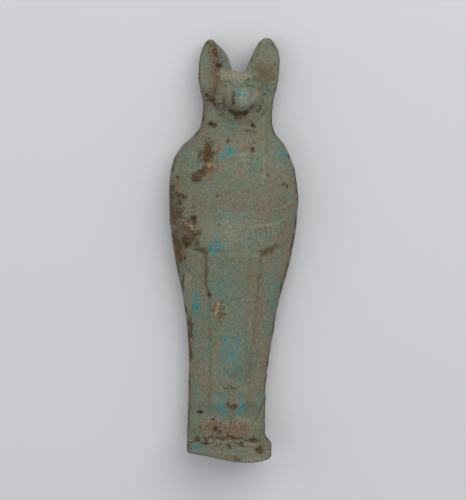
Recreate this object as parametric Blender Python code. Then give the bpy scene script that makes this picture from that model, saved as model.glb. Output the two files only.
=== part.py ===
"""Jackal-headed ushabti, pressed in one piece in an open mould, lying on its flat back.

Run it with blender --background --python part.py, or from Blender's text editor.
Metres, +Z up. The figure lies along Y with its ears towards +Y and its face up.

The form is worked out in carver's units: one unit is a millimetre on the figure as
found, 160 high, 48.7 across the arms and 22.5 deep at the chest. The driving
dimensions below turn those units into metres.
"""

import bpy
import bmesh
import numpy as np

# Driving dimensions in metres
FIGURE_HEIGHT = 0.160
SHOULDER_WIDTH = 0.0490
CHEST_DEPTH = 0.0225
PLINTH_HEIGHT = 0.0082
PLINTH_WIDTH = 0.0319
PLINTH_DEPTH = 0.0235
SNOUT_REACH = 0.0090
EAR_DISH_DEPTH = 0.0018
BACK_EDGE_RADIUS = 0.0035

# Carver's units along, across and through the figure
UNITS_HIGH = 160.0
UNITS_WIDE = 48.7
UNITS_DEEP = 22.5
ALONG = FIGURE_HEIGHT / UNITS_HIGH
ACROSS = SHOULDER_WIDTH / UNITS_WIDE
THROUGH = CHEST_DEPTH / UNITS_DEEP

# Heights of the landmarks above the underside of the plinth, in carver's units
PLINTH_TOP = PLINTH_HEIGHT / ALONG
TOE_TOP = PLINTH_TOP + 6.0
ANKLE = 24.0
COLLAR_FOOT = 80.0
LAPPET_FOOT = 111.5
NECK = 124.0
CHIN = 131.0
EAR_FOOT = 136.0
CROWN = 148.0
EAR_TIP = UNITS_HIGH

FAIENCE = (0.155, 0.165, 0.118, 1.0)


def smooth_through(*points):
    """A curve through (along, value) points that never overshoots them."""
    at, value = (np.array(column, float) for column in zip(*points))
    step = np.diff(at)
    rise = np.diff(value) / step
    slope = np.zeros_like(value)
    turning = rise[:-1] * rise[1:] <= 0
    safe = np.where(turning, 1.0, rise[:-1] * rise[1:])
    mean = 2.0 * safe / np.where(turning, 1.0, rise[:-1] + rise[1:])
    slope[1:-1] = np.where(turning, 0.0, mean)
    slope[0], slope[-1] = rise[0], rise[-1]

    def curve(along):
        along = np.clip(along, at[0], at[-1])
        cell = np.clip(np.searchsorted(at, along) - 1, 0, len(step) - 1)
        t = (along - at[cell]) / step[cell]
        return (
            value[cell] * (1 + 2 * t) * (1 - t) ** 2
            + value[cell + 1] * (3 - 2 * t) * t**2
            + step[cell] * t * (1 - t) * (slope[cell] * (1 - t) - slope[cell + 1] * t)
        )

    return curve


def ramp(low, high, value):
    """0 below low, 1 above high, and an S-curve between."""
    t = np.clip((value - low) / (high - low), 0.0, 1.0)
    return t * t * (3 - 2 * t)


def mound(x, s, centre, radii, power=1.0):
    """A round-topped mound of height 1 inside an ellipse, and 0 outside it."""
    r2 = ((x - centre[0]) / radii[0]) ** 2 + ((s - centre[1]) / radii[1]) ** 2
    return np.clip(1.0 - r2, 0.0, 1.0) ** power


def boss(x, s, centre, radii):
    """A blunt boss of height 1 with rounded flanks, and 0 outside its ellipse."""
    r2 = ((x - centre[0]) / radii[0]) ** 2 + ((s - centre[1]) / radii[1]) ** 2
    return np.clip(1.0 - r2**1.6, 0.0, 1.0) ** 0.75


def ridge(distance, width):
    """1 on a line and 0 beyond width to either side of it."""
    return np.clip(1.0 - (distance / width) ** 2, 0.0, 1.0) ** 2


def stroke(x, s, start, end, width):
    """1 along the line from start to end and 0 beyond width to either side of it."""
    run, rise = end[0] - start[0], end[1] - start[1]
    t = np.clip(((x - start[0]) * run + (s - start[1]) * rise) / (run**2 + rise**2), 0.0, 1.0)
    return ridge(np.hypot(x - start[0] - t * run, s - start[1] - t * rise), width)


# Outline: how far the body reaches to the left and right of the line from snout to feet
left_edge = smooth_through(
    (PLINTH_TOP, 16.1), (32.6, 16.1), (45, 16.8), (59, 18.8), (75, 22.4), (89.5, 24.7),
    (103.5, 25.4), (112, 24.3), (118, 21.1), (122, 17.1), (126, 14.3), (133, 13.4),
    (145.5, 15.6), (150, 15.4), (154, 14.9), (158, 14.4), (EAR_TIP, 13.6),
)
right_edge = smooth_through(
    (PLINTH_TOP, 13.5), (22.5, 13.1), (32.6, 13.6), (45, 15.1), (59, 17.0), (75, 20.8),
    (90.5, 23.0), (98.5, 23.3), (108, 22.2), (115, 19.9), (120, 17.3), (124, 13.9),
    (128, 12.5), (134, 12.5), (144.5, 14.4), (151.5, 14.7), (155, 14.4), (157.5, 13.8), (EAR_TIP, 12.5),
)
left_ear_inside = smooth_through(
    (CROWN, 2.9), (150, 3.8), (153, 4.9), (156, 6.0), (157.8, 6.9), (159.2, 8.5), (EAR_TIP, 9.2)
)
right_ear_inside = smooth_through((CROWN, 1.5), (151, 3.5), (155, 4.8), (157.5, 5.6), (EAR_TIP, 6.9))

# Profile: how high the front stands off the back along the middle, and at the sides
front_line = smooth_through(
    (PLINTH_TOP, 21.4), (TOE_TOP - 3.5, 20.9), (TOE_TOP, 18.6), (18, 15.8), (ANKLE, 14.4),
    (36, 14.2), (50, 15.2), (64, 16.8), (76, 18.5), (90, 21.2), (100, 22.4), (107, 22.5),
    (115, 21.2), (NECK, 18.4), (CHIN, 17.2), (EAR_TIP, 17.2),
)
side_line = smooth_through(
    (PLINTH_TOP, 10.5), (ANKLE, 7.0), (60, 7.5), (100, 8.5), (NECK, 8.0), (CROWN, 8.0), (EAR_TIP, 7.0),
)
ear_level = smooth_through((NECK, 14.4), (EAR_FOOT, 14.0), (CROWN, 13.4), (153, 12.2), (EAR_TIP, 9.4))
ear_back_line = smooth_through((CROWN, 0.0), (153, 0.6), (EAR_TIP, 2.6))

# The ears are two dished leaves: their middle lines and half widths
left_ear_line = smooth_through(
    (EAR_FOOT - 1.5, -10.2), (142, -11.3), (148, -11.3), (155, -11.4), (EAR_TIP, -11.5)
)
left_ear_half = smooth_through(
    (EAR_FOOT - 1.5, 0.9), (140, 2.7), (147, 4.4), (152.5, 3.9), (157, 2.8), (EAR_TIP, 1.6)
)
right_ear_line = smooth_through((EAR_FOOT - 1, 11.3), (141, 10.2), (148, 8.9), (156, 9.6), (EAR_TIP, 9.4))
right_ear_half = smooth_through(
    (EAR_FOOT - 1, 0.9), (140, 3.4), (146, 5.2), (151, 5.4), (156.5, 4.2), (EAR_TIP, 2.3)
)
left_ear_break = smooth_through(
    (CROWN - 2, -7.1), (152.5, -7.0), (156, -8.0), (158.5, -9.3), (EAR_TIP, -10.6)
)


def body_dome(u, s):
    """Cross-section of the body: a flattened dome that meets upright sides."""
    side = side_line(s)
    return side + (front_line(s) - side) * np.clip(1.0 - np.abs(u) ** 2.5, 0.0, 1.0) ** 0.55


def head_slab(x, u, s):
    """Cross-section of the head: ears and headcloth lie in one slab, from which the face swells."""
    side = side_line(s)
    slab = side + (ear_level(s) - side) * np.clip(1.0 - np.abs(u) ** 7, 0.0, 1.0) ** 0.5
    return slab + 4.6 * mound(x, s, (0.9, 138.6), (10.4, 11.6), 0.65)


def ears(x, s):
    """Raised rims and dished middles of both ears, and the step down where the left one has broken."""
    relief = np.zeros_like(x)
    for line, half in ((left_ear_line, left_ear_half), (right_ear_line, right_ear_half)):
        r = np.abs(x - line(s)) / half(s)
        rim = np.exp(-(((r - 0.95) / 0.25) ** 2))
        dish = np.clip(1.0 - r**2, 0.0, 1.0)
        relief += ramp(EAR_FOOT - 1.0, EAR_FOOT + 3.0, s) * (0.7 * rim - EAR_DISH_DEPTH / THROUGH * dish)
    broken = ramp(-0.5, 0.9, x - left_ear_break(s)) * ramp(CROWN - 1.0, CROWN + 2.0, s) * (x < 0)
    return relief - 2.4 * broken


def snout(x, s):
    """The muzzle: a broad base, the lips and a blunt bridge."""
    reach = SNOUT_REACH / THROUGH
    base = mound(x, s, (0.9, 138.2), (7.8, 6.6), 0.9)
    lips = boss(x, s, (0.9, 137.0), (5.6, 4.4))
    bridge = boss(x, s, (1.1, 137.9), (3.1, 4.9))
    return reach * (0.26 * base + 0.26 * lips + 0.48 * bridge)


def mouth(x, s):
    """The mouth's slit turns up at the right corner, over the lower jaw."""
    slit = stroke(x, s, (-3.0, 132.5), (2.8, 132.7), 1.9)
    corner = stroke(x, s, (2.8, 132.7), (7.5, 135.0), 1.6)
    jaw = mound(x, s, (0.6, 130.4), (5.2, 2.6))
    return 1.2 * jaw - 1.1 * np.maximum(slit, corner)


def brow(x, s):
    """Eyes in shallow sockets, and the V of folds between them that runs down to the muzzle."""
    v_fold = np.maximum(
        stroke(x, s, (-4.4, 145.4), (-1.0, 142.6), 1.7), stroke(x, s, (-1.0, 142.6), (2.4, 145.4), 1.7)
    )
    eyes = mound(x, s, (-4.9, 142.7), (2.3, 1.9)) + mound(x, s, (4.1, 143.2), (2.3, 1.9))
    sockets = mound(x, s, (-5.0, 142.5), (3.6, 2.9)) + mound(x, s, (4.3, 143.0), (3.6, 2.9))
    return 0.6 * v_fold + 0.7 * eyes - 1.0 * sockets


def face_edge(x, s):
    """Grooves between the cheeks and the headcloth."""
    left = stroke(x, s, (-9.2, 136.0), (-6.6, 132.2), 1.6)
    right = stroke(x, s, (10.2, 138.6), (8.6, 133.0), 1.6)
    return -1.0 * (left + right)


def lappets(x, s):
    """The two ends of the headcloth, which lie raised on the chest."""
    relief = np.zeros_like(x)
    for inner, outer in ((-8.4, -13.0), (5.0, 10.4)):
        middle, half = (inner + outer) / 2, abs(outer - inner) / 2
        band = ramp(half + 0.6, half - 0.6, np.abs(x - middle))
        relief += 0.9 * band * ramp(LAPPET_FOOT - 0.6, LAPPET_FOOT + 1.0, s) * ramp(CHIN + 2, CHIN - 3, s)
    return relief


def collar_foot_line(x):
    outwards = np.abs(x)
    return COLLAR_FOOT + 0.5 * ramp(6.0, 16.0, outwards) + 0.016 * np.clip(outwards - 6.0, 0.0, 20.0) ** 2


def collar(x, s):
    """The broad collar stands a little proud of the chest, with a hollow under each corner."""
    above = s - collar_foot_line(x)
    plate = 0.55 * ramp(-0.4, 0.8, above) * ramp(NECK + 2.0, NECK - 6.0, s)
    hollows = stroke(x, s, (-14.6, 80.4), (-10.8, 79.0), 2.0) + stroke(x, s, (10.6, 78.9), (15.4, 82.0), 2.0)
    return plate - 0.9 * hollows


def shin_band(u, s):
    """A band down the legs between two grooves, where the text would stand."""
    along = ramp(TOE_TOP + 4.0, TOE_TOP + 9.0, s) * ramp(COLLAR_FOOT, COLLAR_FOOT - 2.0, s)
    left, right = u + 0.48, u - 0.48
    grooves = ridge(left, 0.06) + 0.7 * ridge(right, 0.06)
    return along * (0.35 * ramp(0.56, 0.44, np.abs(u)) - 0.5 * grooves)


def front_height(x, u, s):
    """Height of the front surface over the back, in carver's units."""
    head = ramp(NECK + 1.0, CHIN + 2.0, s)
    height = body_dome(u, s) * (1 - head) + head_slab(x, u, s) * head
    height = height + collar(x, s) * ramp(1.0, 0.8, np.abs(u)) + lappets(x, s) + shin_band(u, s)
    return height + ears(x, s) + snout(x, s) + mouth(x, s) + brow(x, s) + face_edge(x, s)


# Lattice: the figure is the skin of a block of cells, across, along and through
LEFT_EAR_COLUMNS, CROWN_COLUMNS, RIGHT_EAR_COLUMNS = 15, 4, 17
LAYERS = 4
EDGE_CROWDING = 1.45
BANDS = (
    (0.0, 2), (1.4, 2), (PLINTH_TOP - 0.7, 3), (PLINTH_TOP + 0.9, 7), (ANKLE, 10), (COLLAR_FOOT - 3.0, 5),
    (COLLAR_FOOT + 3.0, 7), (LAPPET_FOOT - 2.0, 8), (NECK, 5), (CHIN - 1.0, 21), (CROWN, 8), (158.0, 3),
    (EAR_TIP, 0),
)


def column_shares():
    """Places across, from -1 at the left edge to 1 at the right, with a column at each end of the crown."""
    left_of_crown = -float(left_ear_inside(CROWN) / left_edge(CROWN))
    right_of_crown = float(right_ear_inside(CROWN) / right_edge(CROWN))
    from_left = (np.arange(LEFT_EAR_COLUMNS) / LEFT_EAR_COLUMNS) ** EDGE_CROWDING
    from_right = (np.arange(RIGHT_EAR_COLUMNS, -1, -1) / RIGHT_EAR_COLUMNS) ** EDGE_CROWDING
    return np.concatenate([
        -1.0 + (left_of_crown + 1.0) * from_left,
        np.linspace(left_of_crown, right_of_crown, CROWN_COLUMNS, endpoint=False),
        1.0 - (1.0 - right_of_crown) * from_right,
    ])


def row_stations():
    """Places along the figure, close together where the carving is fine."""
    stations = []
    for (low, count), (high, _) in zip(BANDS, BANDS[1:]):
        stations += [low + (high - low) * k / count for k in range(count)]
    return stations + [EAR_TIP]


SHARES = column_shares()
STATIONS = row_stations()
CROWN_ROW = STATIONS.index(CROWN)
LEFT_OF_CROWN = LEFT_EAR_COLUMNS
RIGHT_OF_CROWN = LEFT_EAR_COLUMNS + CROWN_COLUMNS
COLUMNS = len(SHARES) - 1
ROWS = len(STATIONS) - 1

END_ROUNDING = 1.4
LEFT_EAR_SHORTER = 1.1
TIP_DROP = 1.7
CROWN_FALL = 2.6
PLINTH_DRAW_IN = 2.3
FLAT_SHARE = 0.74


def plinth_mix(s):
    """1 in the plinth and 0 in the figure that stands on it."""
    return ramp(PLINTH_TOP + 0.7, PLINTH_TOP - 0.5, s)


def end_inset(s):
    """How much the section draws in where it rounds into the underside or an ear's tip."""
    from_end = np.clip(np.minimum(s, EAR_TIP - s), 0.0, END_ROUNDING)
    return END_ROUNDING - np.sqrt(END_ROUNDING**2 - (END_ROUNDING - from_end) ** 2)


def across_at(column, s):
    """Distance to the right of the middle line, and the share of the half width that it is."""
    mix = plinth_mix(s)
    plinth_half = PLINTH_WIDTH / 2 / ACROSS
    inset = end_inset(s) * (s < CROWN)
    left = left_edge(s) * (1 - mix) + plinth_half * mix - inset
    right = right_edge(s) * (1 - mix) + plinth_half * mix - inset
    share = SHARES[column]
    if LEFT_OF_CROWN < column < RIGHT_OF_CROWN:
        return share * (left if share < 0 else right), share
    # The columns crowd together at the edges of the body, and are evenly spaced in the head
    evenness = 1 - (1 - 1 / EDGE_CROWDING) * ramp(NECK - 6.0, CHIN, s)
    if column <= LEFT_OF_CROWN:
        inside = -left_ear_inside(s) if s > CROWN else left * SHARES[LEFT_OF_CROWN]
        part = (share + 1) / (SHARES[LEFT_OF_CROWN] + 1)
        x = -left + part**evenness * (inside + left)
    else:
        inside = right_ear_inside(s) if s > CROWN else right * SHARES[RIGHT_OF_CROWN]
        part = (1 - share) / (1 - SHARES[RIGHT_OF_CROWN])
        x = right - part**evenness * (right - inside)
    return x, x / (left if x < 0 else right)


def back_height(u, s):
    """The back is flat in the middle and rounds up to the sides."""
    # An ear thins towards its tip, and the rounding of its edge with it
    radius = BACK_EDGE_RADIUS / THROUGH * (1 - 0.8 * ramp(CROWN, EAR_TIP, s))
    out = np.clip((np.abs(u) - FLAT_SHARE) / (1 - FLAT_SHARE), 0.0, 1.0)
    return radius * (1 - np.sqrt(1 - out**2)) + ear_back_line(np.maximum(s, CROWN)) + end_inset(s)


def plinth_skew(x, s):
    """The underside slopes up to a worn left corner, and the toes arch over the plinth."""
    worn = 2.0 * ramp(2.0, -4.5, x) + 0.5 * ramp(-4.0, -15.5, x) + 1.8 * ramp(12.0, 16.5, x)
    return worn * ramp(PLINTH_TOP, 0.0, s) + 1.0 * mound(x, s, (-3.0, PLINTH_TOP), (13.0, 8.0))


def crown_fall(x, s, share_through):
    """The crown falls away to the back, so that the notch between the ears is deepest there."""
    between = np.exp(-(((x + 1.0) / 3.2) ** 4))
    fall = (0.7 + CROWN_FALL * (1 - share_through)) * between - 0.8 * np.exp(-(((x + 3.0) / 1.5) ** 2))
    return fall * ramp(CROWN - 9.0, CROWN, s) * ramp(CROWN + 5.0, CROWN, s)


def tip_drop(x, s):
    """How much lower the sides of an ear's tip are than its middle."""
    inside = -left_ear_inside(s) if x < 0 else right_ear_inside(s)
    outside = -left_edge(s) if x < 0 else right_edge(s)
    across = (2 * x - inside - outside) / (outside - inside)
    return TIP_DROP * ramp(CROWN + 2.0, EAR_TIP, s) * abs(across) ** 2.4


def place(column, row, layer):
    """Where a lattice point lies, in metres."""
    s = STATIONS[row]
    x, u = across_at(column, s)
    at = [np.array([value], float) for value in (x, u, s)]
    mix = plinth_mix(s)
    plinth_front = PLINTH_DEPTH / THROUGH * (1 - 0.04 * abs(u) ** 4) - end_inset(s)
    figure_front = front_height(*at)[0] - end_inset(s) * (s > CROWN)
    front = figure_front * (1 - mix) + plinth_front * mix
    back = back_height(u, s)
    z = back + (front - back) * layer / LAYERS
    shortened = LEFT_EAR_SHORTER * ramp(CROWN + 2.0, EAR_TIP, s) * (x < 0)
    y = s + plinth_skew(x, s) - crown_fall(x, s, layer / LAYERS) - shortened - tip_drop(x, s)
    # The plinth's right side draws in towards the back
    x = x - PLINTH_DRAW_IN * mix * ramp(1.0, 0.45, layer / LAYERS) * np.clip(u, 0.0, 1.0) ** 2
    return x * ACROSS, y * ALONG, z * THROUGH


def is_clay(column, row, layer):
    """Whether a cell is faience. The gap between the ears is the only one that isn't."""
    if not (0 <= column < COLUMNS and 0 <= row < ROWS and 0 <= layer < LAYERS):
        return False
    return row < CROWN_ROW or not LEFT_OF_CROWN <= column < RIGHT_OF_CROWN


# The four corners of each side of a cell, anticlockwise from outside, and the way that side looks
CELL_SIDES = (
    ((-1, 0, 0), ((0, 0, 0), (0, 0, 1), (0, 1, 1), (0, 1, 0))),
    ((1, 0, 0), ((1, 0, 0), (1, 1, 0), (1, 1, 1), (1, 0, 1))),
    ((0, -1, 0), ((0, 0, 0), (1, 0, 0), (1, 0, 1), (0, 0, 1))),
    ((0, 1, 0), ((0, 1, 0), (0, 1, 1), (1, 1, 1), (1, 1, 0))),
    ((0, 0, -1), ((0, 0, 0), (0, 1, 0), (1, 1, 0), (1, 0, 0))),
    ((0, 0, 1), ((0, 0, 1), (1, 0, 1), (1, 1, 1), (0, 1, 1))),
)


def skin_of_lattice():
    """A bmesh of the lattice's outer faces."""
    mesh = bmesh.new()
    corners = {}

    def corner(*index):
        if index not in corners:
            corners[index] = mesh.verts.new(place(*index))
        return corners[index]

    for column in range(COLUMNS):
        for row in range(ROWS):
            for layer in range(LAYERS):
                if not is_clay(column, row, layer):
                    continue
                for (a, b, c), offsets in CELL_SIDES:
                    if not is_clay(column + a, row + b, layer + c):
                        mesh.faces.new([corner(column + i, row + j, layer + k) for i, j, k in offsets])
    return mesh


def merge_flat_back(mesh):
    """The part of the back that it lies on becomes one flat face."""
    mesh.normal_update()
    flat = [f for f in mesh.faces if all(abs(v.co.z) < 1e-6 for v in f.verts)]
    edges = {e for f in flat for e in f.edges if all(g in flat for g in e.link_faces)}
    bmesh.ops.dissolve_edges(mesh, edges=list(edges), use_verts=True)


def split_along_relief(mesh):
    """Every quad is split along its shorter diagonal, which runs along a groove or ridge."""
    bmesh.ops.triangulate(mesh, faces=mesh.faces, quad_method="SHORT_EDGE")


def seat_on_origin(mesh):
    """Moves the figure so that the middle of its box, at the level of its back, is the origin."""
    points = np.array([v.co for v in mesh.verts])
    low, high = points.min(0), points.max(0)
    middle = (low + high) / 2
    bmesh.ops.translate(mesh, verts=mesh.verts, vec=(-middle[0], -middle[1], -low[2]))


def faience():
    material = bpy.data.materials.new("faience")
    material.use_nodes = True
    shader = material.node_tree.nodes["Principled BSDF"]
    shader.inputs["Base Color"].default_value = FAIENCE
    shader.inputs["Roughness"].default_value = 0.75
    shader.inputs["Metallic"].default_value = 0.0
    return material


def build():
    for obj in list(bpy.data.objects):
        bpy.data.objects.remove(obj)
    mesh = skin_of_lattice()
    merge_flat_back(mesh)
    split_along_relief(mesh)
    seat_on_origin(mesh)
    data = bpy.data.meshes.new("ushabti")
    mesh.to_mesh(data)
    mesh.free()
    data.shade_smooth()
    figure = bpy.data.objects.new("ushabti", data)
    figure.data.materials.append(faience())
    bpy.context.scene.collection.objects.link(figure)
    return figure


build()
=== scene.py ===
# %% [markdown]
# # A jackal-headed ushabti in worn faience
# An ushabti is a small servant figure from an Egyptian burial. This one is faience: ground
# quartz pressed into an open mould, fired once, and covered by its own blue-green glaze. It
# has lain in the ground, so the glaze is worn to dull grey-green over most of it and soil
# sits in the hollows. The script loads the CAD solid as a frame, presses the same form again
# on a finer lattice, carves and wears it, and then paints and lights it.

# %% Load the CAD frame
import math

import bpy
import numpy as np
from mathutils import Matrix, Vector


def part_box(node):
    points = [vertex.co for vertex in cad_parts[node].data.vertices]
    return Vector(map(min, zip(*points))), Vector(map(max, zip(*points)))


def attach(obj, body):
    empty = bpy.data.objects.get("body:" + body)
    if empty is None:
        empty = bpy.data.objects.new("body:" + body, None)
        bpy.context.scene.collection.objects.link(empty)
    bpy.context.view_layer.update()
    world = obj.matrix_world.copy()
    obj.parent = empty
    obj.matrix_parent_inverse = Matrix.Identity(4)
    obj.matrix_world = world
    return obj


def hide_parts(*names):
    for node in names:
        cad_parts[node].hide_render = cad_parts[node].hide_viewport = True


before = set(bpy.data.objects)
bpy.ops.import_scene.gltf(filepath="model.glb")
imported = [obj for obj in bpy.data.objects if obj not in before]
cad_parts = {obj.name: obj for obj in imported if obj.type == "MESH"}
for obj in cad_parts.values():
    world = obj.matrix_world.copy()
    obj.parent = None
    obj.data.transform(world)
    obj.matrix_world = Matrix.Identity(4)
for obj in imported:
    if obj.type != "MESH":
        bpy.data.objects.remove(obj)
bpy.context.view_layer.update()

LOW, HIGH = (np.array(corner, float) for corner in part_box("ushabti"))
print("The CAD solid's box in mm:", np.round((HIGH - LOW) * 1000, 1))

# %% [markdown]
# ## Units and curves
# The form is worked out in carver's units: one is a millimetre on a figure 160 high. The
# outline and the profile are smooth curves through a few points, because a mould is cut in
# long even sweeps. A monotone curve is used, which never bulges past its points as a plain
# spline can.

# %% Units and curves
TALL, WIDE, DEEP = 160, 48.7, 22.5
ALONG, ACROSS, THROUGH = 0.160 / TALL, 0.0490 / WIDE, 0.0225 / DEEP


def smooth_through(*points):
    """A curve through (along, value) points that never overshoots them."""
    at, value = (np.array(column, float) for column in zip(*points))
    step = np.diff(at)
    rise = np.diff(value) / step
    turning = rise[:-1] * rise[1:] <= 0
    product = np.where(turning, 0, rise[:-1] * rise[1:])
    slope = np.zeros_like(value)
    slope[1:-1] = 2 * product / np.where(turning, 1, rise[:-1] + rise[1:])
    slope[0], slope[-1] = rise[0], rise[-1]

    def curve(along):
        along = np.clip(along, at[0], at[-1])
        cell = np.clip(np.searchsorted(at, along) - 1, 0, len(step) - 1)
        t = (along - at[cell]) / step[cell]
        return (
            value[cell] * (1 + 2 * t) * (1 - t) ** 2
            + value[cell + 1] * (3 - 2 * t) * t**2
            + step[cell] * t * (1 - t) * (slope[cell] * (1 - t) - slope[cell + 1] * t)
        )

    return curve


def clamp(value):
    return np.clip(value, 0, 1)


def ramp(low, high, value):
    """0 below low, 1 above high, and an S-curve between."""
    t = clamp((value - low) / (high - low))
    return t * t * (3 - 2 * t)


def mound(x, s, centre, radii, power=1):
    """A mound of height 1 inside an ellipse, and 0 outside it."""
    r2 = ((x - centre[0]) / radii[0]) ** 2 + ((s - centre[1]) / radii[1]) ** 2
    return clamp(1 - r2) ** power


def boss(x, s, centre, radii):
    """A blunt boss of height 1 with rounded flanks, and 0 outside its ellipse."""
    r2 = ((x - centre[0]) / radii[0]) ** 2 + ((s - centre[1]) / radii[1]) ** 2
    return clamp(1 - r2**1.6) ** 0.75


def ridge(distance, width):
    """1 on a line and 0 beyond width to either side of it."""
    return clamp(1 - (distance / width) ** 2) ** 2


def from_segment(x, s, start, end):
    """Distance from the segment between start and end."""
    run, rise = end[0] - start[0], end[1] - start[1]
    t = clamp(((x - start[0]) * run + (s - start[1]) * rise) / (run**2 + rise**2))
    return np.hypot(x - start[0] - t * run, s - start[1] - t * rise)


def strokes(x, s, points, width):
    """1 along a line of several points and 0 beyond width to either side of it."""
    return np.max([ridge(from_segment(x, s, a, b), width) for a, b in zip(points, points[1:])], axis=0)


# %% [markdown]
# ## A noise to wear things with
# Worn and fired surfaces are uneven at every size. Blender's noise textures live in shaders,
# so the mesh gets a small value noise of its own: random numbers at the knots of a grid, and
# a smooth blend between them. Each call names its own seed, so every run gives the same
# wear.

# %% Noise
KNOTS = 97


def noise(x, s, size, seed):
    """Smooth noise from -1 to 1 with knots that size apart, the same on every run."""
    table = np.random.default_rng(seed).uniform(-1.0, 1.0, (KNOTS, KNOTS))
    gx, gs = x / size + 31.7, s / size + 11.3
    ix, js = np.floor(gx).astype(int), np.floor(gs).astype(int)
    tx, ts = ramp(0, 1, gx - ix), ramp(0, 1, gs - js)

    def row(j):
        return table[ix % KNOTS, j % KNOTS] * (1 - tx) + table[(ix + 1) % KNOTS, j % KNOTS] * tx

    return row(js) * (1 - ts) + row(js + 1) * ts


def rough(x, s, size, seed, octaves=3):
    """Noise at several sizes, each half the size and a little over half the strength of the last."""
    total = sum(0.55**k * noise(x, s, size / 2**k, seed + k) for k in range(octaves))
    return total / sum(0.55**k for k in range(octaves))


def wavering(x, s, strength=0.4, seed=161):
    """The same places shifted a little by noise, so that lines drawn there waver as worn ones do."""
    return x + strength * rough(x, s, 1.5, seed), s + strength * rough(x, s, 1.5, seed + 10)


# %% [markdown]
# ## Outline and profile
# The outline is read down each side from the middle line between snout and feet. The figure
# isn't symmetric: its left side is fuller and its left ear leans less. The profile is how
# high the front stands over the flat back. Both are the curves of the CAD solid, so the fine
# mesh and the solid have one form.

# %% Outline and profile
PLINTH_TOP, PLINTH_WIDE, PLINTH_DEEP = 8.2, 31.8, 23.5
TOE_TOP = PLINTH_TOP + 6
ANKLE, COLLAR_FOOT, LAPPET_FOOT = 24, 80, 111.5
NECK, CHIN, EAR_FOOT, CROWN, EAR_TIP = 124, 131, 136, 148, TALL

left_edge = smooth_through(
    (PLINTH_TOP, 16.1), (32.6, 16.1), (45, 16.8), (59, 18.8), (75, 22.4), (89.5, 24.7),
    (103.5, 25.4), (112, 24.3), (118, 21.1), (122, 17.1), (126, 14.3), (133, 13.4),
    (145.5, 15.6), (150, 15.4), (154, 14.9), (158, 14.4), (EAR_TIP, 13.6),
)
right_edge = smooth_through(
    (PLINTH_TOP, 13.5), (22.5, 13.1), (32.6, 13.6), (45, 15.1), (59, 17), (75, 20.8),
    (90.5, 23), (98.5, 23.3), (108, 22.2), (115, 19.9), (120, 17.3), (124, 13.9),
    (128, 12.5), (134, 12.5), (144.5, 14.4), (151.5, 14.7), (155, 14.4), (157.5, 13.8), (EAR_TIP, 12.5),
)
left_ear_inside = smooth_through(
    (CROWN, 2.9), (150, 3.8), (153, 4.9), (156, 6), (157.8, 6.9), (159.2, 8.5), (EAR_TIP, 9.2)
)
right_ear_inside = smooth_through((CROWN, 1.5), (151, 3.5), (155, 4.8), (157.5, 5.6), (EAR_TIP, 6.9))
front_line = smooth_through(
    (PLINTH_TOP, 21.4), (TOE_TOP - 3.5, 20.9), (TOE_TOP, 18.6), (18, 15.8), (ANKLE, 14.4),
    (36, 14.2), (50, 15.2), (64, 16.8), (76, 18.5), (90, 21.2), (100, 22.4), (107, 22.5),
    (115, 21.2), (NECK, 18.4), (CHIN, 17.2), (EAR_TIP, 17.2),
)
side_line = smooth_through(
    (PLINTH_TOP, 10.5), (ANKLE, 7), (60, 7.5), (100, 8.5), (NECK, 8), (CROWN, 8), (EAR_TIP, 7),
)
ear_level = smooth_through((NECK, 14.4), (EAR_FOOT, 14), (CROWN, 13.4), (153, 12.2), (EAR_TIP, 9.4))
ear_back_line = smooth_through((CROWN, 0), (153, 0.6), (EAR_TIP, 2.6))

# %% [markdown]
# ## The head
# Ears and headcloth lie in one slab, and the face swells out of it. The ears are dished
# leaves with raised rims. The left one has lost its inner front corner, which leaves a step.
# The muzzle is a broad base with blunt lips and a bridge on top; a blunt profile is used
# because a plain dome would look like a beak.

# %% The ears and the slab of the head
LEFT_EAR = (
    smooth_through((EAR_FOOT - 1.5, -10.2), (142, -11.3), (148, -11.3), (155, -11.4), (EAR_TIP, -11.5)),
    smooth_through((EAR_FOOT - 1.5, 0.9), (140, 2.7), (147, 4.4), (152.5, 3.9), (157, 2.8), (EAR_TIP, 1.6)),
)
RIGHT_EAR = (
    smooth_through((EAR_FOOT - 1, 11.3), (141, 10.2), (148, 8.9), (156, 9.6), (EAR_TIP, 9.4)),
    smooth_through((EAR_FOOT - 1, 0.9), (140, 3.4), (146, 5.2), (151, 5.4), (156.5, 4.2), (EAR_TIP, 2.3)),
)
left_ear_break = smooth_through(
    (CROWN - 2, -7.1), (152.5, -7), (156, -8), (158.5, -9.3), (EAR_TIP, -10.6)
)


def body_dome(u, s):
    """Cross-section of the body: a flattened dome that meets upright sides."""
    side = side_line(s)
    return side + (front_line(s) - side) * clamp(1 - abs(u) ** 2.5) ** 0.55


def head_slab(x, u, s):
    side = side_line(s)
    slab = side + (ear_level(s) - side) * clamp(1 - abs(u) ** 7) ** 0.5
    return slab + 4.6 * mound(x, s, (0.9, 138.6), (10.4, 11.6), 0.65)


def ears(x, s):
    relief = np.zeros_like(x)
    for line, half in (LEFT_EAR, RIGHT_EAR):
        r = abs(x - line(s)) / half(s)
        rim = np.exp(-(((r - 0.95) / 0.25) ** 2))
        dish = clamp(1 - r**2)
        relief += ramp(EAR_FOOT - 1, EAR_FOOT + 3, s) * (0.7 * rim - 1.8 * dish)
    ragged = 0.35 * noise(x, s, 1.6, 5)
    step = ramp(-0.4, 0.5, x + ragged - left_ear_break(s)) * ramp(CROWN - 1, CROWN + 2, s) * (x < 0)
    return relief - 2.4 * step


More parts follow.
